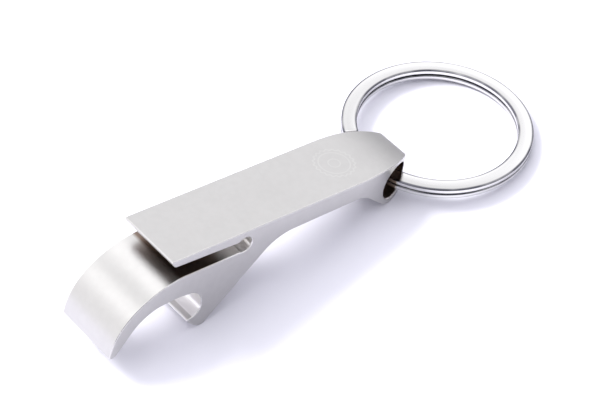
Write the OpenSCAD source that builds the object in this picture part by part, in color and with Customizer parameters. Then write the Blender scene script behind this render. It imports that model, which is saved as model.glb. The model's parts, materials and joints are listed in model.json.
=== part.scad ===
// Keychain bottle opener: a one-piece cast body with a cap hook, and the split ring
// that hangs loose in its key eye. Millimetres, standing on the plane Z = 0.

/* [Opener body] */
// Width of the cast body, side to side
body_w = 11.3; // [9:0.1:14]
// Thickness of the bar that carries the top face
bar_t = 3.2; // [2.8:0.1:3.6]
// Distance from the front lip of the top plate to the middle of the key eye
eye_x = 43.6; // [40:0.1:50]
// Length of the rounded end of the body, seen from above
tongue_len = 13.5; // [11:0.5:16]
// Where the top face starts to roll off towards the key end
roll_x = 37; // [36:0.5:40]
// Radius of that roll-off
roll_r = 42; // [42:1:60]

/* [Front slot] */
// Thickness of the top plate at its front lip
plate_t = 1.27; // [1:0.01:1.5]
// Height of the slot behind the front lip
slot_gap = 2.2; // [1.8:0.1:2.6]
// Distance from the front lip to the middle of the round hole that ends the slot
relief_x = 13.1; // [11:0.1:15]
// Radius of the round hole that ends the slot
relief_r = 1.32; // [1.15:0.01:1.5]

/* [Cap mouth] */
// Depth of the mouth's roof below the top face
mouth_top = 7.6; // [7.2:0.1:8]
// Depth of the fulcrum toe's corner below the top face
toe_depth = 15.2; // [14.8:0.1:15.6]
// Reach of the hook in front of the top plate's lip
hook_reach = 9.5; // [9:0.1:10]

/* [Key eye] */
// Outer radius of the key eye
eye_r = 4.05; // [3.9:0.05:4.2]
// Radius of the hole through the key eye
eye_bore_r = 2.93; // [2.8:0.01:3]
// How far the hole sits below the middle of the eye
eye_bore_drop = 0.2; // [0:0.05:0.3]

/* [Split ring] */
// Outer diameter of the split ring
ring_d = 30; // [28:0.5:32]
// Width of the flat wire, across the ring
wire_w = 2.45; // [2:0.05:2.6]
// Thickness of one turn of the wire
wire_t = 0.94; // [0.8:0.02:1]
// Gap between the two turns
turn_gap = 0.08; // [0.05:0.01:0.15]
// Angle over which the wire steps from the lower turn to the upper one
step_angle = 26; // [20:1:40]
// Where round the ring the step starts, from the far end
step_from = 152; // [130:1:170]
// How far the ring lies to the side of the body's middle
ring_side = 1.6; // [0:0.1:1.6]
// How far the ring's middle plane passes below the middle of the hole
ring_drop = 0.7; // [0.5:0.1:0.7]
// Distance from the middle of the hole to the middle of the ring
ring_out = 13.85; // [13.3:0.05:13.9]

/* [Hidden] */
$fn = 96;
arc_step = 4;                       // degrees between the points of a rounded corner

bore_z = -eye_r - eye_bore_drop;    // middle of the hole, below the top face
ring_r = ring_d / 2;
ring_t = 2 * wire_t + turn_gap;     // height of the two turns
plate_rise = 0.46;                  // how much thicker the plate is at the slot's closed end
slot_fall = 0.25;                   // how much deeper the slot's floor lies there
relief_rise = 0.2;                  // the relief hole's middle, above the middle of the slot
slot_top = -plate_t - plate_rise;   // roof of the slot at its closed end
slot_floor = -plate_t - slot_gap - slot_fall;
bar_end = [eye_x - 7.6, -bar_t];    // where the bar's underside turns down to the eye
tongue_x = eye_x - 8.8;             // where the rounded key end begins

// Corners of the body's side view, as [x, z, corner radius]. X runs from the front lip
// to the key eye and Z is 0 on the top face. The list runs round the shape once.
corners = [
    [-0.27, 0, 0.2],                                // front lip of the top plate
    [0.5, -plate_t, 0.55],
    [relief_x, slot_top, 0],                        // roof of the slot
    [relief_x, slot_floor, 0],                      // floor of the slot
    [2.2, slot_floor, 3],
    [-2.7, slot_floor - 0.83, 14],                  // shoulder of the hook
    [0.85 - hook_reach, -9.2, 10],
    [-hook_reach - 0.05, -14.3, 0.45],              // tip of the hook
    [-8.3, -13.9, 0.35],
    [-3.9, -mouth_top - 0.45, 7.5],                 // front of the mouth
    [1.6, -mouth_top + 0.1, 12],                    // roof of the mouth
    [6.3, -mouth_top - 0.45, 2.7],                  // back of the mouth
    [6.45, -12.55, 1.9],
    [3.9, -12.95, 0.25],                            // lip of the fulcrum toe
    [5.7, -toe_depth + 0.45, 3],
    [7.1, -toe_depth, 1],                           // foot of the toe
    [14.9, -7.75, 14],                              // back of the leg
    [19.4, -bar_t - 0.4, 8],
    [bar_end.x, bar_end.y, 5],                      // underside of the bar
    eye_tangent(bar_end),                           // the eye's flank
    [eye_x, -eye_r, 0],
    [eye_x, 0, 0]
];
toe_corner = 15;                    // place of the toe's foot in the list

// The point where a line from p grazes the lower side of the key eye
function eye_tangent(p) =
    let (v = [eye_x, -eye_r] - p,
         away = norm(v),
         reach = sqrt(away * away - eye_r * eye_r),
         turn = atan2(v.y, v.x) - asin(eye_r / away))
    [p.x + reach * cos(turn), p.y + reach * sin(turn), 0];

function unit(v) = v / norm(v);
function xz(c) = [c.x, c.y];
function before(i) = xz(corners[(i + len(corners) - 1) % len(corners)]);
function after(i) = xz(corners[(i + 1) % len(corners)]);

// Middle of the arc that rounds corner i
function arc_middle(i) =
    let (b = xz(corners[i]),
         u = unit(before(i) - b),
         v = unit(after(i) - b),
         half_turn = acos(u * v) / 2)
    b + unit(u + v) * corners[i][2] / sin(half_turn);

// Points of corner i: one point where it is sharp, an arc where it is rounded
function corner_points(i) =
    let (b = xz(corners[i]), r = corners[i][2])
    r == 0 ? [b] :
    let (u = unit(before(i) - b),
         v = unit(after(i) - b),
         run = r / tan(acos(u * v) / 2),
         middle = arc_middle(i),
         from = b + u * run - middle,
         to = b + v * run - middle,
         start = atan2(from.y, from.x),
         sweep = (atan2(to.y, to.x) - start + 540) % 360 - 180,
         steps = max(2, ceil(abs(sweep) / arc_step)))
    [for (k = [0:steps]) middle + r * [cos(start + sweep * k / steps), sin(start + sweep * k / steps)]];

outline = [for (i = [0:len(corners) - 1]) each corner_points(i)];

// The body rests on the foot of its toe and on the key eye, so its top face slopes
toe = arc_middle(toe_corner);
toe_r = corners[toe_corner][2];
lean = [eye_x - toe.x, -eye_r - toe.y];
pitch = atan2(lean.y, lean.x) - asin((eye_r - toe_r) / norm(lean));

function sloped(p) = [p.x * cos(pitch) + p.y * sin(pitch), -p.x * sin(pitch) + p.y * cos(pitch)];
rest_z = sloped([eye_x, -eye_r]).y - eye_r;          // the surface the object stands on
bore = sloped([eye_x, bore_z]);
bore_up = bore.y - rest_z;

// The ring passes through the eye and its far end lies on the surface
reach_out = ring_out + ring_r;
reach_down = ring_drop + ring_t / 2;
ring_tilt = asin(bore_up / norm([reach_out, reach_down])) - atan2(reach_down, reach_out);
ring_mid = bore + ring_out * [cos(ring_tilt), -sin(ring_tilt)]
                - ring_drop * [sin(ring_tilt), cos(ring_tilt)];

// Origin: on that surface, under the middle of the whole object
front_end = min([for (p = outline) sloped(p).x]);
back_end = ring_mid.x + ring_r * cos(ring_tilt) + ring_t / 2 * sin(ring_tilt);
mid_x = (front_end + back_end) / 2;

module standing() {
    translate([-mid_x, -ring_side, -rest_z]) children();
}

// What the roll-off takes from the top face, seen from the side
module roll_off() {
    last = 16;                       // degrees, past the end of the eye
    polygon(concat(
        [[roll_x + roll_r * sin(last), 1], [roll_x, 1]],
        [for (a = [0:2:last]) [roll_x + roll_r * sin(a), roll_r * (cos(a) - 1)]]
    ));
}

// Side view of the body, with the round hole at the end of the slot
module side_view() {
    difference() {
        union() {
            polygon(outline);
            translate([eye_x, -eye_r]) circle(eye_r);
        }
        translate([relief_x, (slot_top + slot_floor) / 2 + relief_rise]) circle(relief_r);
        roll_off();
    }
}

// Top view of the body: straight sides and half an ellipse at the key end
module top_view() {
    front = -hook_reach - 2;
    polygon(concat(
        [[front, body_w / 2], [front, -body_w / 2]],
        [for (a = [-90:arc_step / 2:90]) [tongue_x + tongue_len * cos(a), body_w / 2 * sin(a)]]
    ));
}

module opener_body() color([0.78, 0.78, 0.80])
standing() rotate([0, pitch, 0])
difference() {
    intersection() {
        rotate([90, 0, 0]) linear_extrude(height = body_w, center = true) side_view();
        translate([0, 0, -toe_depth - 5]) linear_extrude(height = toe_depth + 10) top_view();
    }
    translate([eye_x, 0, bore_z]) rotate([90, 0, 0])
        cylinder(r = eye_bore_r, h = body_w + 2, center = true);
}

// One flat turn of the wire, open where the step is
module turn(z) {
    rotate([0, 0, step_from + step_angle]) translate([0, 0, z])
        rotate_extrude(angle = 360 - step_angle, $fn = 180)
            translate([ring_r - wire_w, 0]) square([wire_w, wire_t]);
}

// The wire's step from the lower turn to the upper one, an S in its height
module step() {
    rings = 14;
    over = 0.4;                      // how far the step's ends run into the turns, degrees
    skin = 0.01;                     // the step is this much slimmer than the turns all round
    polyhedron(
        points = [for (i = [0:rings])
            let (a = step_from - over + (step_angle + 2 * over) * i / rings,
                 z = (wire_t + turn_gap) * (1 - cos(180 * i / rings)) / 2)
            each [for (c = [[skin, skin], [wire_w - skin, skin], [wire_w - skin, wire_t - skin], [skin, wire_t - skin]])
                let (r = ring_r - wire_w + c.x)
                [r * cos(a), r * sin(a), z + c.y]]],
        faces = concat(
            [[3, 2, 1, 0], [for (k = [0:3]) 4 * rings + k]],
            [for (i = [0:rings - 1], k = [0:3])
                let (m = (k + 1) % 4)
                [4 * i + m, 4 * i + 4 + m, 4 * i + 4 + k, 4 * i + k]]));
}

module split_ring() color([0.86, 0.86, 0.87])
standing() translate([ring_mid.x, ring_side, ring_mid.y]) rotate([0, ring_tilt, 0])
translate([0, 0, -ring_t / 2]) {
    turn(0);
    step();
    turn(wire_t + turn_gap);
}

opener_body();
split_ring();
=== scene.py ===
# A keychain bottle opener: one satin nickel casting and the bright split ring in its key eye.
import json
import math

import bpy
import numpy as np
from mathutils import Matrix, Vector
from mathutils.geometry import delaunay_2d_cdt


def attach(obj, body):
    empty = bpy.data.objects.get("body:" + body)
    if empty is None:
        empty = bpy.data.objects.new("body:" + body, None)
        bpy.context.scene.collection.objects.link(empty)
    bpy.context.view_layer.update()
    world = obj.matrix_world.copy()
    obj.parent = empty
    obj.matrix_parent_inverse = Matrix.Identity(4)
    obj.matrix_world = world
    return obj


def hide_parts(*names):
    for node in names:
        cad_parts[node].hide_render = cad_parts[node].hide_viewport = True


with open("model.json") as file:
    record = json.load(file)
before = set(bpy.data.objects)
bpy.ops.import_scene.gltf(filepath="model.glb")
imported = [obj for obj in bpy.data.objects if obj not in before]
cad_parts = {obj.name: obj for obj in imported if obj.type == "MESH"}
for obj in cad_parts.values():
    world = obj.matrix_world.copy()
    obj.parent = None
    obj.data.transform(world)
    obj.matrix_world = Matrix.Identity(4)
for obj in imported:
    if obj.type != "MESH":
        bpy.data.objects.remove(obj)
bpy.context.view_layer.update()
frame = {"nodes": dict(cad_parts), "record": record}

mm = 0.001
mounts = {m["name"]: m for m in frame["record"]["mounts"]}
print("frame loaded:", ", ".join(sorted(frame["nodes"])))

cameraView = {
    "azimuth": -39.13,       # degrees, 0 looks along +Y
    "elevation": 46.56,      # degrees above the surface
    "distance": 0.3261,      # from the aim to the lens
    "aim": (-0.00287, -0.00213, 0.00482),
    "lens": 132.1,
    "sensor": 36,
    "clip": (0.01, 10),
}


def setCamera(c):
    azimuth, elevation = math.radians(c["azimuth"]), math.radians(c["elevation"])
    back = Vector((math.sin(azimuth) * math.cos(elevation),
                   -math.cos(azimuth) * math.cos(elevation),
                   math.sin(elevation)))
    data = bpy.data.cameras.new("studioCamera")
    data.lens, data.sensor_width = c["lens"], c["sensor"]
    data.clip_start, data.clip_end = c["clip"]
    camera = bpy.data.objects.new("studioCamera", data)
    bpy.context.collection.objects.link(camera)
    camera.location = Vector(c["aim"]) + back * c["distance"]
    camera.rotation_mode = "QUATERNION"
    camera.rotation_quaternion = (-back).to_track_quat("-Z", "Y")
    bpy.context.scene.camera = camera


setCamera(cameraView)
print("camera set")


def newMaterial(name):
    material = bpy.data.materials.new(name)
    material.use_nodes = True
    tree = material.node_tree
    tree.nodes.clear()
    output = tree.nodes.new("ShaderNodeOutputMaterial")
    shader = tree.nodes.new("ShaderNodeBsdfPrincipled")
    tree.links.new(shader.outputs["BSDF"], output.inputs["Surface"])
    return material, tree, shader


def newGroup(name, inputs, outputs):
    # inputs are (name, socket type, default or None); outputs are names, each a plain number
    group = bpy.data.node_groups.new(name, "ShaderNodeTree")
    for label, kind, default in inputs:
        socket = group.interface.new_socket(name=label, in_out="INPUT", socket_type=kind)
        if default is not None:
            socket.default_value = default
    for label in outputs:
        group.interface.new_socket(name=label, in_out="OUTPUT", socket_type="NodeSocketFloat")
    return group, group.nodes.new("NodeGroupInput"), group.nodes.new("NodeGroupOutput")


def useGroup(tree, group, **values):
    n = tree.nodes.new("ShaderNodeGroup")
    n.node_tree = group
    for label, value in values.items():
        n.inputs[label].default_value = value
    return n


def attributeNode(tree, name):
    # what the mesh carries at its points: "Fac" for a number, "Vector" for a place
    n = tree.nodes.new("ShaderNodeAttribute")
    n.attribute_name = name
    return n.outputs


def bumpNode(tree, height, strength, distance):
    n = tree.nodes.new("ShaderNodeBump")
    n.inputs["Strength"].default_value = strength
    n.inputs["Distance"].default_value = distance
    tree.links.new(height, n.inputs["Height"])
    return n.outputs["Normal"]


def mathNode(tree, operation, a, b=None, c=None, clamp=False):
    # each of a, b and c is a socket or a number
    n = tree.nodes.new("ShaderNodeMath")
    n.operation, n.use_clamp = operation, clamp
    for i, value in enumerate((a, b, c)):
        if isinstance(value, bpy.types.NodeSocket):
            tree.links.new(value, n.inputs[i])
        elif value is not None:
            n.inputs[i].default_value = value
    return n.outputs[0]


def noiseNode(tree, vector, scale, detail=2.0, roughness=0.5):
    n = tree.nodes.new("ShaderNodeTexNoise")
    n.inputs["Detail"].default_value = detail
    n.inputs["Roughness"].default_value = roughness
    for label, value in (("Vector", vector), ("Scale", scale)):
        if isinstance(value, bpy.types.NodeSocket):
            tree.links.new(value, n.inputs[label])
        else:
            n.inputs[label].default_value = value
    return n.outputs["Fac"]


def rangeNode(tree, value, fromMin, fromMax, toMin, toMax):
    n = tree.nodes.new("ShaderNodeMapRange")
    n.interpolation_type = "SMOOTHSTEP"
    tree.links.new(value, n.inputs["Value"])
    for label, number in (("From Min", fromMin), ("From Max", fromMax),
                          ("To Min", toMin), ("To Max", toMax)):
        n.inputs[label].default_value = number
    return n.outputs["Result"]


def mixColour(tree, factor, a, b):
    n = tree.nodes.new("ShaderNodeMix")
    n.data_type = "RGBA"
    tree.links.new(factor, n.inputs["Factor"])
    for socket, value in ((n.inputs[6], a), (n.inputs[7], b)):
        if isinstance(value, bpy.types.NodeSocket):
            tree.links.new(value, socket)
        else:
            socket.default_value = (*value, 1)
    return n.outputs[2]


def makeGrain():
    # plated metal's skin: slow waves left by casting or rolling, and a fine tooth over them
    g, start, end = newGroup("platedGrain",
                             [("Vector", "NodeSocketVector", None),
                              ("Wave Scale", "NodeSocketFloat", 300.0),
                              ("Tooth Scale", "NodeSocketFloat", 6000.0),
                              ("Tooth", "NodeSocketFloat", 0.3)],
                             ["Height", "Mottle"])
    wave = noiseNode(g, start.outputs["Vector"], start.outputs["Wave Scale"], 2.0, 0.5)
    tooth = noiseNode(g, start.outputs["Vector"], start.outputs["Tooth Scale"], 1.0, 0.5)
    height = mathNode(g, "MULTIPLY_ADD", tooth, start.outputs["Tooth"], wave)
    g.links.new(height, end.inputs["Height"])
    g.links.new(rangeNode(g, wave, 0.3, 0.7, 0.0, 1.0), end.inputs["Mottle"])
    return g


def makeRubAndPaintedReflection():
    # edges that pockets and keys have rubbed on the casting, and on the ring the painted reflection of
    # dark lines on the wire's corners: the edge mask, broken up by noise
    g, start, end = newGroup("rubbedEdgeAndPaintedReflection",
                             [("Edge", "NodeSocketFloat", 0.0),
                              ("Vector", "NodeSocketVector", None),
                              ("Patch Scale", "NodeSocketFloat", 400.0),
                              ("Amount", "NodeSocketFloat", 0.6)],
                             ["Mask"])
    patches = noiseNode(g, start.outputs["Vector"], start.outputs["Patch Scale"], 3.0, 0.6)
    spread = rangeNode(g, patches, 0.25, 0.75, 0.45, 1.0)
    rubbed = mathNode(g, "MULTIPLY", start.outputs["Edge"], spread)
    mask = mathNode(g, "MULTIPLY", rubbed, start.outputs["Amount"], clamp=True)
    g.links.new(mask, end.inputs["Mask"])
    return g


def makeHandling():
    # handling marks: soft smudges and sparse hairline scratches, both as masks
    g, start, end = newGroup("handlingMarks",
                             [("Vector", "NodeSocketVector", None),
                              ("Smudge Scale", "NodeSocketFloat", 90.0),
                              ("Scratch Scale", "NodeSocketFloat", 700.0)],
                             ["Smudge", "Scratch"])
    smudge = noiseNode(g, start.outputs["Vector"], start.outputs["Smudge Scale"], 3.0, 0.55)
    stretch = g.nodes.new("ShaderNodeMapping")
    stretch.inputs["Rotation"].default_value = (0.3, 0.2, 0.7)
    stretch.inputs["Scale"].default_value = (0.08, 1.0, 1.0)
    g.links.new(start.outputs["Vector"], stretch.inputs["Vector"])
    lines = noiseNode(g, stretch.outputs["Vector"], start.outputs["Scratch Scale"], 2.0, 0.5)
    g.links.new(rangeNode(g, smudge, 0.4, 0.75, 0.0, 1.0), end.inputs["Smudge"])
    g.links.new(rangeNode(g, lines, 0.68, 0.74, 0.0, 1.0), end.inputs["Scratch"])
    return g


grain, rubAndPaintedReflection, handling = makeGrain(), makeRubAndPaintedReflection(), makeHandling()
print("shared effects made")


def makePiece(name, points, faces, attributes, normals=None):
    # points are in millimetres; attributes are (name, type, values) on the points
    mesh = bpy.data.meshes.new(name)
    mesh.from_pydata((points * mm).tolist(), [], faces)
    mesh.update()
    for label, kind, values in attributes:
        layer = mesh.attributes.new(label, kind, "POINT")
        key = "vector" if kind == "FLOAT_VECTOR" else "value"
        layer.data.foreach_set(key, np.ascontiguousarray(values, dtype=np.float32).ravel())
    mesh.shade_smooth()
    if normals is not None:
        mesh.normals_split_custom_set_from_vertices(normals.tolist())
    piece = bpy.data.objects.new(name, mesh)
    bpy.context.collection.objects.link(piece)
    return piece


def unitRows(v):
    return v / np.linalg.norm(v, axis=1, keepdims=True)


def gridFaces(rows, columns, first=0):
    # quads between neighbouring rows of a grid whose columns run round a loop
    r, c = np.meshgrid(np.arange(rows - 1), np.arange(columns), indexing="ij")
    n = (c + 1) % columns
    quads = np.stack([r * columns + c, (r + 1) * columns + c,
                      (r + 1) * columns + n, r * columns + n], axis=-1)
    return (quads.reshape(-1, 4) + first).tolist()


def roundCorner(before, point, after, radius, step=4.0, chord=0.3):
    # the arc that touches both sides of a corner: its middle is radius / sin(half angle) along
    # the bisector; its points are at most step degrees and about chord millimetres apart
    before, point, after = (np.array(p[:2], float) for p in (before, point, after))
    u = (before - point) / np.linalg.norm(before - point)
    v = (after - point) / np.linalg.norm(after - point)
    half = math.acos(float(np.clip(u @ v, -1, 1))) / 2
    middle = point + (u + v) / np.linalg.norm(u + v) * radius / math.sin(half)
    start = point + u * radius / math.tan(half) - middle
    end = point + v * radius / math.tan(half) - middle
    first = math.atan2(start[1], start[0])
    sweep = (math.atan2(end[1], end[0]) - first + math.pi) % (2 * math.pi) - math.pi
    steps = max(3, math.ceil(abs(sweep) / math.radians(step)),
                math.ceil(abs(sweep) * radius / chord))
    turns = np.linspace(0, sweep, steps + 1) + first
    return middle + radius * np.stack([np.cos(turns), np.sin(turns)], axis=1)


def arcPoints(middle, radius, first, last, step=3.0):
    turns = np.radians(np.linspace(first, last, max(3, math.ceil(abs(last - first) / step) + 1)))
    return np.array(middle) + radius * np.stack([np.cos(turns), np.sin(turns)], axis=1)


def fillStraights(loop, longest):
    # adds evenly spaced points where two neighbours of a closed loop are further apart than longest
    step = np.roll(loop, -1, axis=0) - loop
    count = np.maximum(1, np.ceil(np.linalg.norm(step, axis=1) / longest)).astype(int)
    index = np.repeat(np.arange(len(loop)), count)
    part = (np.arange(len(index)) - np.repeat(np.cumsum(count) - count, count)) / count[index]
    return loop[index] + step[index] * part[:, None]


def loopNormals(loop):
    # outward normals of a loop that runs anticlockwise: the two sides' directions are
    # averaged, then turned right
    forward = unitRows(np.roll(loop, -1, axis=0) - loop)
    tangent = unitRows(forward + np.roll(forward, 1, axis=0))
    return np.stack([tangent[:, 1], -tangent[:, 0]], axis=1)


def mountPlace(name):
    # how a mount's axis leans about Y, as a matrix, and its position in millimetres
    mount = mounts[name]
    lean = math.atan2(mount["axis"][0], mount["axis"][2])
    turn = np.array([[math.cos(lean), 0, math.sin(lean)],
                     [0, 1, 0],
                     [-math.sin(lean), 0, math.cos(lean)]])
    return turn, np.array(mount["pos_m"]) / mm


opener = {                   # millimetres; X from the front lip to the key end, Z is 0 on the top face
    "width": 11.3,
    "plate": 1.27,           # thickness of the top plate at its lip
    "plateRise": 0.46,       # how much thicker the plate is at the slot's closed end
    "slotGap": 2.2,
    "slotFall": 0.25,        # how much deeper the slot's floor lies at its closed end
    "reliefX": 13.1,         # middle of the round hole that ends the slot
    "reliefR": 1.32,
    "reliefRise": 0.2,
    "reliefFillet": 0.18,    # where the hole meets the slot
    "filletTurn": 9,         # degrees of the hole's circle that a fillet takes
    "mouthTop": 7.6,
    "toeDepth": 15.2,
    "hookReach": 9.5,
    "bar": 3.2,
    "barBack": 7.6,          # the bar's underside ends this far before the key eye
    "eyeX": 43.6,
    "eyeR": 4.05,
    "boreR": 2.93,
    "boreDrop": 0.2,
    "tongue": 13.5,          # length of the rounded key end, seen from above
    "tongueBack": 8.8,       # it starts this far before the key eye
    "tongueLast": 0.97,      # share of its length past which the width stops falling
    "rollX": 37.0,           # where the top face starts to roll off
    "rollR": 42.0,
    "rollStep": 0.7,         # degrees between its points
    "rollBlend": 1.4,        # radius where the roll-off runs into the key eye
    "blendRoom": 1.3,        # room kept clear for that blend, in its own tangent lengths
    "edge": 0.17,            # radius of the softened edges; with skin, less than reliefFillet
    "skin": 0.002,           # the drawn surface lies this far inside the solid
    "rim": 0.3,              # radius of the softened rim of the key hole
    "longest": 0.7,          # longest straight step between points of the side view
    "capSpacing": 0.6,       # spacing of the points on the side faces
    "mountX": 20.0,          # place of the top face's mount, along the top face
    # painted light and shade on the walls: below 0 a painted shade, dark and warm, above 0 a painted
    # light, bright
    "reliefPaintedLight": 1.0,
    "toePaintedLight": 0.85,
    "borePaintedShade": -1.0,
    "slotPaintedShadeLight": (-1.0, 0.9),     # in front of the ramp, and past it
    "slotRamp": (8.3, 11.0),
    # finish
    "plain": ((0.505, 0.497, 0.49), (0.52, 0.512, 0.505)),   # low and high of the mottle
    "paintedShade": (0.19, 0.145, 0.12),
    "paintedLight": (0.86, 0.845, 0.835),
    "wornAndPaintedReflection": (0.68, 0.67, 0.66),
    "marked": (0.57, 0.565, 0.555),
    "roughness": 0.30,
    "smudgeRough": 0.05,
    "scratchRough": 0.05,
    "wornRough": -0.12,
    "markRough": 0.12,
    "bump": (0.10, 0.00003),     # strength, and distance in metres
    # engraved cap on the top face
    "markX": 34.2,           # its middle, along the top face
    "markR": 3.1,
    "markFlutes": 21.0,
    "fluteDepth": 0.14,
    "rimLine": 0.16,         # width of the fluted line
    "markCircles": (0.78, 0.3),  # shares of its radius
    "circleLine": 0.12,      # width of their lines
    "markDepth": -0.6,
    "markLevel": (-0.02, -0.005),    # it shows only this close to the top face
}


def slotHeights(o):
    # the slot's roof and floor at its closed end, and the middle of the round hole there
    roof, floor = -o["plate"] - o["plateRise"], -o["plate"] - o["slotGap"] - o["slotFall"]
    return roof, floor, (o["reliefX"], (roof + floor) / 2 + o["reliefRise"])


def sideLoop(o):
    # side view of the casting, anticlockwise from the front lip: straight lines joined by arcs
    slotTop, slotFloor, relief = slotHeights(o)
    roofTurn = math.degrees(math.pi - math.asin((slotTop - relief[1]) / o["reliefR"]))
    floorTurn = math.degrees(-math.pi - math.asin((slotFloor - relief[1]) / o["reliefR"]))
    inner = arcPoints(relief, o["reliefR"], roofTurn - o["filletTurn"], floorTurn + o["filletTurn"])
    roofEnd, floorEnd = (arcPoints(relief, o["reliefR"], t, t + 1)[0] for t in (roofTurn, floorTurn))
    barEnd = (o["eyeX"] - o["barBack"], -o["bar"])
    eyeMiddle = (o["eyeX"], -o["eyeR"])
    away = np.subtract(eyeMiddle, barEnd)
    graze = math.degrees(math.atan2(away[1], away[0]) - math.asin(o["eyeR"] / np.linalg.norm(away)))
    # The roll-off is a circle under the top face. By the law of cosines the eye's circle crosses
    # it at an angle of lean from the line between their middles.
    rollMiddle = np.array((o["rollX"], -o["rollR"]))
    apart = np.subtract(eyeMiddle, rollMiddle)
    span = np.linalg.norm(apart)
    lean = math.acos((span ** 2 + o["rollR"] ** 2 - o["eyeR"] ** 2) / (2 * span * o["rollR"]))
    rollEnd = math.degrees(math.atan2(apart[1], apart[0]) - lean)
    meet = arcPoints(rollMiddle, o["rollR"], rollEnd, rollEnd + 1)[0]
    eyeEnd = math.degrees(math.atan2(*(meet - eyeMiddle)[::-1]))
    keep = o["rollBlend"] * math.tan(math.radians(eyeEnd - rollEnd) / -2)
    rollStart = rollEnd + math.degrees(keep / o["rollR"]) * o["blendRoom"]
    flankEnd = eyeEnd - math.degrees(keep / o["eyeR"]) * o["blendRoom"]
    roll = arcPoints(rollMiddle, o["rollR"], rollStart, 90, o["rollStep"])
    flank = arcPoints(eyeMiddle, o["eyeR"], graze - 90, flankEnd)
    corners = [              # X, Z and radius; a run of points stands where the outline is a circle
        (-0.27, 0, 0.2),                                # front lip of the top plate
        (0.5, -o["plate"], 0.55),
        (*roofEnd, o["reliefFillet"]), inner, (*floorEnd, o["reliefFillet"]),
        (2.2, slotFloor, 3),
        (-2.7, slotFloor - 0.83, 14),                   # shoulder of the hook
        (0.85 - o["hookReach"], -9.2, 10),
        (-o["hookReach"] - 0.05, -14.3, 0.45),          # tip of the hook
        (-8.3, -13.9, 0.35),
        (-3.9, -o["mouthTop"] - 0.45, 7.5),             # front of the mouth
        (1.6, -o["mouthTop"] + 0.1, 12),
        (6.3, -o["mouthTop"] - 0.45, 2.7),              # back of the mouth
        (6.45, -12.55, 1.9),
        (3.9, -12.95, 0.25),                            # lip of the fulcrum toe
        (5.7, -o["toeDepth"] + 0.45, 3),
        (7.1, -o["toeDepth"], 1),                       # foot of the toe
        (14.9, -7.75, 14),                              # back of the leg
        (19.4, -o["bar"] - 0.4, 8),
        (*barEnd, 5),                                   # underside of the bar
        flank, (*meet, o["rollBlend"]), roll,
    ]
    runs = []
    for i, corner in enumerate(corners):
        if isinstance(corner, np.ndarray):
            runs.append(corner)
            continue
        before, after = corners[i - 1], corners[(i + 1) % len(corners)]
        before = before[-1] if isinstance(before, np.ndarray) else before
        after = after[0] if isinstance(after, np.ndarray) else after
        runs.append(roundCorner(before, corner, after, corner[2]))
    return np.concatenate(runs)


def alongTongue(x, o):
    # 0 where the rounded key end starts; stopped short of 1, where its slope would be endless
    return np.clip((x - (o["eyeX"] - o["tongueBack"])) / o["tongue"], 0, o["tongueLast"])


def halfWidth(x, o):
    # plan view: half the width along the straight sides, then a quarter of an ellipse to the key end
    return o["width"] / 2 * np.sqrt(1 - alongTongue(x, o) ** 2)


def widthSlope(x, o):
    # how fast that half width changes with X
    along = alongTongue(x, o)
    return -o["width"] / 2 / o["tongue"] * along / np.sqrt(1 - along ** 2)


def wallGrid(loop, edge, o, across=10, turns=7):
    # Rows run from one side face to the other. On the wall the loop stays put and y moves across.
    # At each edge the loop moves in along its normal by edge * (1 - cos t) as y goes out by
    # edge * sin t, over t from 0 to a right angle.
    normals = loopNormals(loop)
    t = np.linspace(0, math.pi / 2, turns)
    inset = edge * (1 - np.cos(t)) + o["skin"]
    x = loop[None, :, 0] - normals[None, :, 0] * inset[:, None]
    z = loop[None, :, 1] - normals[None, :, 1] * inset[:, None]
    y = halfWidth(x, o) - o["skin"] - edge * (1 - np.sin(t))[:, None]
    slope = widthSlope(x, o)
    length = np.sqrt(1 + slope ** 2)
    normal = np.stack([normals[None, :, 0] * np.cos(t)[:, None] - slope / length * np.sin(t)[:, None],
                       np.broadcast_to(1 / length * np.sin(t)[:, None], x.shape),
                       normals[None, :, 1] * np.cos(t)[:, None] + 0 * x], axis=-1)
    far = np.stack([x, y, z], axis=-1)
    mirror = np.array([1, -1, 1])
    near = (far * mirror)[::-1]
    wall = np.repeat(far[:1], across - 1, axis=0)
    wall[:, :, 1] *= np.linspace(-1, 1, across + 1)[1:-1, None]
    wallNormal = np.broadcast_to(normal[0], wall.shape)
    points = np.concatenate([near, wall, far])
    pointNormals = np.concatenate([(normal * mirror)[::-1], wallNormal, normal])
    wear = np.sin(2 * t)
    edgeMask = np.concatenate([wear[::-1], np.zeros(across - 1), wear])
    wallMask = np.concatenate([np.cos(t)[::-1], np.ones(across - 1), np.cos(t)])
    return points, pointNormals, np.repeat(edgeMask, len(loop)), np.repeat(wallMask, len(loop))


def insideLoop(points, loop):
    # even-odd rule: counts the loop's sides that a ray along +X crosses; the tiny number keeps
    # a level side, which the ray never crosses, from dividing by 0
    a, b = loop, np.roll(loop, -1, axis=0)
    px, pz = points[:, :1], points[:, 1:]
    crosses = (a[:, 1] > pz) != (b[:, 1] > pz)
    at = a[:, 0] + (pz - a[:, 1]) * (b[:, 0] - a[:, 0]) / (b[:, 1] - a[:, 1] + 1e-12)
    return (crosses & (px < at)).sum(axis=1) % 2 == 1


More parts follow.
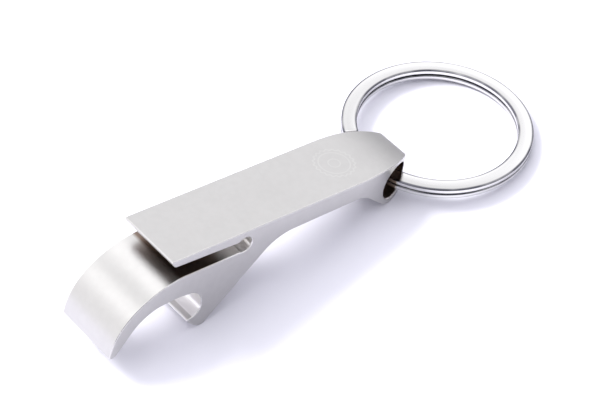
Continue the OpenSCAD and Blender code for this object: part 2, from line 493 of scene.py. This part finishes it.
def sideCap(outer, hole, spacing, clear=0.6):
    # Triangles of a side face between its outer loop and the key hole's, over an even grid of
    # inner points that stay clear of both loops by a share of the grid's spacing.
    low, high = outer.min(axis=0), outer.max(axis=0)
    gx, gz = np.meshgrid(np.arange(low[0], high[0], spacing),
                         np.arange(low[1], high[1], spacing), indexing="ij")
    grid = np.stack([gx.ravel(), gz.ravel()], axis=1)
    grid[:, 1] += (np.arange(len(grid)) // gx.shape[1] % 2) * spacing / 2
    rims = np.concatenate([outer, hole])
    gap = np.sqrt(((grid[:, None] - rims[None]) ** 2).sum(axis=2)).min(axis=1)
    grid = grid[insideLoop(grid, outer) & ~insideLoop(grid, hole) & (gap > spacing * clear)]
    points = np.concatenate([rims, grid])
    a, b = np.arange(len(outer)), np.arange(len(hole)) + len(outer)
    edges = np.concatenate([np.stack([a, np.roll(a, -1)], 1), np.stack([b, np.roll(b, -1)], 1)])
    found = delaunay_2d_cdt([Vector(p) for p in points], edges.tolist(), [], 0, 1e-7)
    back = np.array([origin[0] for origin in found[3]])
    triangles = back[np.array(found[2])]
    middles = points[triangles].mean(axis=1)
    return grid, triangles[insideLoop(middles, outer) & ~insideLoop(middles, hole)]


def standing(points, normals, o):
    # from the casting's own axes to the part's: the top face's mount says how it leans and where it is
    lean, at = mountPlace("top_face")
    return points @ lean.T + at - lean @ np.array([o["mountX"], 0, 0]), normals @ lean.T


def paintedLightShadeOnWall(loop, o):
    # Painted light and shade at each point of the side view: painted shade in the slot, turning to
    # painted light past its ramp, and painted light in the round hole and on the toe's lip. Each zone
    # is bounded in X and Z a little outside the shape that it is meant for.
    x, z = loop.T
    _, slotFloor, relief = slotHeights(o)
    inReliefHole = np.hypot(x - relief[0], z - relief[1]) < o["reliefR"] + 0.15
    inSlot = (x > 0.6) & (x < relief[0]) & (z < -o["plate"] + 0.05) & (z > slotFloor - 0.1)
    facesFront = loopNormals(loop)[:, 0] < -0.3
    toeLip = facesFront & (x > 3) & (x < 7.2) & (z < -o["mouthTop"] - 0.6)
    slotPaintedShadeLight = np.interp(x, o["slotRamp"], o["slotPaintedShadeLight"])
    return np.select([inReliefHole, inSlot, toeLip], [o["reliefPaintedLight"], slotPaintedShadeLight, o["toePaintedLight"]], 0.0)


def makeOpener(o):
    outer = fillStraights(sideLoop(o), o["longest"])
    hole = arcPoints((o["eyeX"], -o["eyeR"] - o["boreDrop"]), o["boreR"], 360, 3, 3)
    parts, faces, count = [], [], 0
    for loop, edge in ((outer, o["edge"]), (hole, o["rim"])):
        points, normals, wear, wall = wallGrid(loop, edge, o)
        rows, columns = points.shape[:2]
        faces += gridFaces(rows, columns, count)
        # painted shade inside the key hole's bore; painted light and shade round the side view
        paintedLightShade = paintedLightShadeOnWall(loop, o) if loop is outer else np.full(len(loop), o["borePaintedShade"])
        parts.append((points.reshape(-1, 3), normals.reshape(-1, 3), wear,
                      np.tile(paintedLightShade, rows) * wall))
        count += rows * columns
    starts = [0, len(parts[0][0])]
    sizes = [len(outer), len(hole)]
    for side, row in ((-1, 0), (1, -1)):
        first = [s + (0 if row == 0 else len(p[0]) - n) for s, n, p in zip(starts, sizes, parts)]
        rims = [p[0].reshape(-1, n, 3)[row][:, [0, 2]] for n, p in zip(sizes, parts)]
        grid, triangles = sideCap(*rims, o["capSpacing"])
        index = np.concatenate([np.arange(sizes[0]) + first[0], np.arange(sizes[1]) + first[1],
                                np.arange(len(grid)) + count])
        triangles = index[triangles]
        faces += (triangles if side < 0 else triangles[:, ::-1]).tolist()
        y, slope = halfWidth(grid[:, 0], o) - o["skin"], widthSlope(grid[:, 0], o)
        parts.append((np.stack([grid[:, 0], side * y, grid[:, 1]], axis=1),
                      unitRows(np.stack([-slope, side + 0 * y, 0 * y], axis=1)),
                      np.zeros(len(grid)), np.zeros(len(grid))))
        count += len(grid)
    points, normals, wear, paintedLightShade = (np.concatenate([p[i] for p in parts]) for i in range(4))
    onBody, normals = standing(points, unitRows(normals), o)
    return makePiece("castBody", onBody, faces,
                     [("place", "FLOAT_VECTOR", points), ("edge", "FLOAT", wear),
                      ("paintedLightShade", "FLOAT", paintedLightShade)], normals)


def capMark(tree, place, o):
    # a crown cap seen from above, engraved on the top face: a fluted rim and circles inside it
    split = tree.nodes.new("ShaderNodeSeparateXYZ")
    tree.links.new(place, split.inputs[0])
    x = mathNode(tree, "SUBTRACT", split.outputs["X"], o["markX"])
    y = split.outputs["Y"]
    square = mathNode(tree, "ADD", mathNode(tree, "MULTIPLY", x, x), mathNode(tree, "MULTIPLY", y, y))
    radius = mathNode(tree, "SQRT", square)
    turns = mathNode(tree, "MULTIPLY", mathNode(tree, "ARCTAN2", y, x), o["markFlutes"])
    rim = mathNode(tree, "MULTIPLY_ADD", mathNode(tree, "SINE", turns), o["fluteDepth"], o["markR"])
    lines = [(rim, o["rimLine"])] + [(o["markR"] * c, o["circleLine"]) for c in o["markCircles"]]
    mask = 0.0
    for middle, width in lines:
        off = mathNode(tree, "ABSOLUTE", mathNode(tree, "SUBTRACT", radius, middle))
        line = rangeNode(tree, off, width * 0.5, width * 1.2, 1.0, 0.0)     # soft at both sides
        mask = mathNode(tree, "MAXIMUM", mask, line)
    onTop = rangeNode(tree, split.outputs["Z"], *o["markLevel"], 0.0, 1.0)
    return mathNode(tree, "MULTIPLY", mask, onTop)


def satinNickel(o):
    material, tree, shader = newMaterial("satinNickel")
    coordinates = tree.nodes.new("ShaderNodeTexCoord").outputs["Object"]
    skin = useGroup(tree, grain, **{"Wave Scale": 900.0, "Tooth Scale": 9000.0, "Tooth": 0.8})
    wornAndPaintedReflection = useGroup(tree, rubAndPaintedReflection, **{"Patch Scale": 500.0, "Amount": 0.7})
    marks = useGroup(tree, handling, **{"Smudge Scale": 110.0, "Scratch Scale": 900.0})
    for n in (skin, wornAndPaintedReflection, marks):
        tree.links.new(coordinates, n.inputs["Vector"])
    tree.links.new(attributeNode(tree, "edge")["Fac"], wornAndPaintedReflection.inputs["Edge"])
    engraved = capMark(tree, attributeNode(tree, "place")["Vector"], o)
    # painted shade in the slot and the key hole, painted light in the round hole, past the slot's ramp
    # and on the toe's lip
    paintedLightShade = attributeNode(tree, "paintedLightShade")["Fac"]
    paintedShade = mathNode(tree, "MULTIPLY", paintedLightShade, -1.0, clamp=True)
    paintedLight = mathNode(tree, "MULTIPLY", paintedLightShade, 1.0, clamp=True)
    plate = mixColour(tree, skin.outputs["Mottle"], *o["plain"])
    for mask, colour in ((paintedShade, o["paintedShade"]), (paintedLight, o["paintedLight"]),
                         (wornAndPaintedReflection.outputs["Mask"], o["wornAndPaintedReflection"]), (engraved, o["marked"])):
        plate = mixColour(tree, mask, plate, colour)
    tree.links.new(plate, shader.inputs["Base Color"])
    shader.inputs["Metallic"].default_value = 1.0
    rough = o["roughness"]
    for mask, change in ((marks.outputs["Smudge"], o["smudgeRough"]),
                         (marks.outputs["Scratch"], o["scratchRough"]),
                         (wornAndPaintedReflection.outputs["Mask"], o["wornRough"]), (engraved, o["markRough"])):
        rough = mathNode(tree, "MULTIPLY_ADD", mask, change, rough)
    tree.links.new(rough, shader.inputs["Roughness"])
    height = mathNode(tree, "MULTIPLY_ADD", engraved, o["markDepth"], skin.outputs["Height"])
    tree.links.new(bumpNode(tree, height, *o["bump"]), shader.inputs["Normal"])
    return material


body = makeOpener(opener)
body.data.materials.append(satinNickel(opener))
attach(body, "opener")
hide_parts("opener_body")
print("opener body made:", len(body.data.vertices), "points")

ring = {                     # millimetres
    "radius": 14.995,
    "wire": 2.45,            # width of the flat wire
    "thick": 0.88,           # thickness of one turn
    "height": 1.955,         # both turns together
    "corner": 0.25,          # radius of the wire's corners
    "crown": 0.022,          # rise of the wire's flat faces from their sides to their middle
    "leastGap": 0.03,        # where the turns lie closest
    "stepFrom": 152.0,       # degrees from the far end
    "stepTurn": 26.0,        # the wire climbs one turn over this angle
    "openAt": 75.0,          # where the turns stand furthest apart, degrees
    "cutRound": 0.22,        # rounding of the wire's cut ends
    # Half of each corner is drawn dark, a stand-in for the dark lines that a real ring mirrors
    # there: full up to the first distance from the wire's side or face, none from the second.
    "darkFromSide": (0.24, 0.34),
    "darkFromFace": (0.14, 0.24),
    # finish
    "plain": ((0.70, 0.695, 0.69), (0.73, 0.725, 0.72)),     # low and high of the mottle
    "paintedDarkReflection": (0.10, 0.10, 0.12),
    "roughness": 0.06,
    "smudgeRough": 0.05,
    "scratchRough": 0.10,
    "bump": (0.05, 0.00005),     # strength, and distance in metres
}


def wireSection(r, perCorner=9, perFace=9):
    # flat wire as offsets from its middle, outwards and up: round corners, and between them
    # faces that rise by crown * (1 - u * u) where u runs from -1 to 1 across the face
    crown = r["crown"]
    c = r["corner"]
    halfW, halfT = r["wire"] / 2 - c, r["thick"] / 2 - crown - c
    u = np.cos(np.linspace(0, math.pi, perFace + 2))[1:-1]      # closer together near the corners
    parts = []
    for k, (sx, sy) in enumerate(((1, 1), (-1, 1), (-1, -1), (1, -1))):
        a = np.radians(np.linspace(0, 90, perCorner)) + math.pi / 2 * k
        parts.append(np.stack([sx * halfW + c * np.cos(a), sy * halfT + c * np.sin(a)], axis=1))
        if k % 2 == 0:
            rise = crown * (1 - u * u)
            parts.append(np.stack([sy * halfW * u, sy * (halfT + c + rise)], axis=1))
    return np.concatenate(parts)


def makeRing(r, perTurn=230, perStep=40, perEnd=7):
    # The wire's section is carried round two turns. Its height stays level, climbs by a cosine S
    # over the step, and stays level again. The upper turn sinks a little away from the place where
    # the turns part. Near the cut ends the section shrinks along a quarter of a circle.
    start, turn = r["stepFrom"] + r["stepTurn"], 360 - r["stepTurn"]
    middle = r["radius"] - r["wire"] / 2
    sweep = np.concatenate([np.linspace(0, turn, perTurn),
                            turn + np.linspace(0, r["stepTurn"], perStep)[1:-1],
                            360 + np.linspace(0, turn, perTurn)])
    reach = np.radians(sweep) * middle
    ends = r["cutRound"] * (1 - np.cos(np.linspace(0, math.pi / 2, perEnd)))[1:-1]
    reach = np.sort(np.concatenate([reach, ends, reach[-1] - ends]))
    sweep = np.degrees(reach / middle)
    climb = (1 - np.cos(np.pi * np.clip((sweep - turn) / r["stepTurn"], 0, 1))) / 2
    angle = np.radians(start + sweep)
    mostGap = r["height"] - 2 * r["thick"]
    parting = (1 + np.cos(angle - math.radians(r["openAt"]))) / 2
    gap = r["leastGap"] + (mostGap - r["leastGap"]) * parting
    level = -r["height"] / 2 + r["thick"] / 2 + climb * (r["thick"] + gap)
    fromEnd = np.minimum(reach, reach[-1] - reach)
    shrink = r["cutRound"] * (1 - np.sqrt(1 - (1 - np.clip(fromEnd / r["cutRound"], 0, 1)) ** 2))
    section = wireSection(r)
    half = np.array((r["wire"] / 2, r["thick"] / 2))
    away = (half - shrink[:, None]) / half
    out = middle + section[None, :, 0] * away[:, :1]
    up = level[:, None] + section[None, :, 1] * away[:, 1:]
    points = np.stack([out * np.cos(angle)[:, None], out * np.sin(angle)[:, None], up], axis=-1)
    rows, columns = points.shape[:2]
    faces = gridFaces(rows, columns)
    faces.append(list(range(columns)))                                          # the two cut faces
    faces.append(list(range(rows * columns - 1, (rows - 1) * columns - 1, -1)))
    # where the painted reflection darkens the wire's corners
    fromSide, fromFace = (half - np.abs(section)).T
    onCorner = np.interp(fromSide, r["darkFromSide"], (1, 0))
    onCorner *= np.interp(fromFace, r["darkFromFace"], (1, 0))
    # along the wire, across it and up, for marks that follow the wire
    wire = np.column_stack([np.repeat(reach, columns), np.tile(section, (rows, 1))])
    lean, at = mountPlace("key_ring_loop")
    return makePiece("splitRingWire", points.reshape(-1, 3) @ lean.T + at, faces,
                     [("wire", "FLOAT_VECTOR", wire), ("edge", "FLOAT", np.tile(onCorner, rows))])


def brightNickel(r):
    material, tree, shader = newMaterial("brightNickel")
    wire = attributeNode(tree, "wire")["Vector"]
    stretch = tree.nodes.new("ShaderNodeMapping")          # the rolling marks run along the wire
    stretch.inputs["Scale"].default_value = (0.02, 1.0, 1.0)
    tree.links.new(wire, stretch.inputs["Vector"])
    skin = useGroup(tree, grain, **{"Wave Scale": 0.9, "Tooth Scale": 9.0, "Tooth": 0.5})
    wornAndPaintedReflection = useGroup(tree, rubAndPaintedReflection, **{"Patch Scale": 0.12, "Amount": 1.3})
    marks = useGroup(tree, handling, **{"Smudge Scale": 0.12, "Scratch Scale": 1.6})
    for n, place in ((skin, stretch.outputs["Vector"]), (wornAndPaintedReflection, wire), (marks, wire)):
        tree.links.new(place, n.inputs["Vector"])
    tree.links.new(attributeNode(tree, "edge")["Fac"], wornAndPaintedReflection.inputs["Edge"])
    plate = mixColour(tree, skin.outputs["Mottle"], *r["plain"])
    # painted reflection: the wire's corners are mixed towards a dark colour, for the dark lines that a
    # real ring mirrors there
    plate = mixColour(tree, wornAndPaintedReflection.outputs["Mask"], plate, r["paintedDarkReflection"])
    tree.links.new(plate, shader.inputs["Base Color"])
    shader.inputs["Metallic"].default_value = 1.0
    rough = mathNode(tree, "MULTIPLY_ADD", marks.outputs["Smudge"], r["smudgeRough"], r["roughness"])
    rough = mathNode(tree, "MULTIPLY_ADD", marks.outputs["Scratch"], r["scratchRough"], rough)
    tree.links.new(rough, shader.inputs["Roughness"])
    tree.links.new(bumpNode(tree, skin.outputs["Height"], *r["bump"]), shader.inputs["Normal"])
    return material


wireRing = makeRing(ring)
wireRing.data.materials.append(brightNickel(ring))
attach(wireRing, "ring")
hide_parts("split_ring")
print("split ring made:", len(wireRing.data.vertices), "points")

studio = {
    "floorSize": 8.0,
    "floorColour": (0.72, 0.715, 0.80),
    "floorRoughness": 0.6,
    "keyPower": 13.0,
    "keyAt": (-0.28, 0.62, 0.70),
    "keySize": 0.40,
    "keyColour": (1.0, 0.99, 0.95),
    "skyTop": (1.08, 1.08, 1.12),
    "skyLow": (0.08, 0.08, 0.10),
    "horizon": (0.05, 0.43),     # sines of the heights where the sky starts to brighten, and is full
    # softboxes and flags: direction, cosine where it starts, cosine where it is full, radiance
    "panelsAbove": [
        ((0.70, 0.48, 0.50), 0.70, 0.93, (1.50, 1.50, 1.54)),     # behind the key end
        ((0.40, 0.52, 0.76), 0.955, 0.992, (0.80, 0.80, 0.82)),   # a gap beside it
        ((0.65, -0.63, 0.45), 0.75, 0.95, (1.45, 1.45, 1.48)),    # front right
    ],
    "panelsLow": [
        ((-0.40, 0.60, 0.70), 0.45, 0.85, (2.15, 2.15, 2.18)),    # over the hook
        ((-0.20, 0.53, 0.82), 0.970, 0.995, (1.15, 1.15, 1.17)),  # a softer patch near its top
        ((-0.85, 0.52, 0.05), 0.70, 0.92, (1.50, 1.49, 1.52)),    # the backdrop's sweep on the left
        ((-0.50, -0.84, 0.20), 0.78, 0.93, (0.30, 0.30, 0.32)),   # grey flag in front
    ],
}


def makeFloor(s):
    half = s["floorSize"] / 2
    mesh = bpy.data.meshes.new("floor")
    corners = [(-half, -half, 0), (half, -half, 0), (half, half, 0), (-half, half, 0)]
    mesh.from_pydata(corners, [], [(0, 1, 2, 3)])
    floor = bpy.data.objects.new("floor", mesh)
    bpy.context.collection.objects.link(floor)
    material, _, shader = newMaterial("paleFloor")
    shader.inputs["Base Color"].default_value = (*s["floorColour"], 1)
    shader.inputs["Roughness"].default_value = s["floorRoughness"]
    mesh.materials.append(material)


def makeLights(s):
    data = bpy.data.lights.new("keySoftbox", "AREA")
    data.shape, data.size = "SQUARE", s["keySize"]
    data.energy, data.color = s["keyPower"], s["keyColour"]
    key = bpy.data.objects.new("keySoftbox", data)
    bpy.context.collection.objects.link(key)
    key.location = s["keyAt"]
    key.visible_glossy = False       # the panels in the sky are what the metal reflects
    key.rotation_mode = "QUATERNION"
    key.rotation_quaternion = (-Vector(s["keyAt"])).to_track_quat("-Z", "Y")


def addPanels(tree, direction, sky, panels):
    for towards, start, full, radiance in panels:
        along = tree.nodes.new("ShaderNodeVectorMath")
        along.operation = "DOT_PRODUCT"
        tree.links.new(direction, along.inputs[0])
        along.inputs[1].default_value = Vector(towards).normalized()
        mask = rangeNode(tree, along.outputs["Value"], start, full, 0.0, 1.0)
        sky = mixColour(tree, mask, sky, radiance)
    return sky


def makeSky(s):
    world = bpy.data.worlds.new("studioSky")
    bpy.context.scene.world = world
    world.use_nodes = True
    tree = world.node_tree
    tree.nodes.clear()
    output = tree.nodes.new("ShaderNodeOutputWorld")
    background = tree.nodes.new("ShaderNodeBackground")
    tree.links.new(background.outputs[0], output.inputs["Surface"])
    direction = tree.nodes.new("ShaderNodeTexCoord").outputs["Generated"]
    split = tree.nodes.new("ShaderNodeSeparateXYZ")
    tree.links.new(direction, split.inputs[0])
    sky = addPanels(tree, direction, s["skyTop"], s["panelsAbove"])
    rise = rangeNode(tree, split.outputs["Z"], *s["horizon"], 0.0, 1.0)
    sky = mixColour(tree, rise, s["skyLow"], sky)
    sky = addPanels(tree, direction, sky, s["panelsLow"])
    tree.links.new(sky, background.inputs["Color"])


makeFloor(studio)
makeLights(studio)
makeSky(studio)
bpy.context.scene.view_settings.view_transform = "Standard"
print("floor and light set")
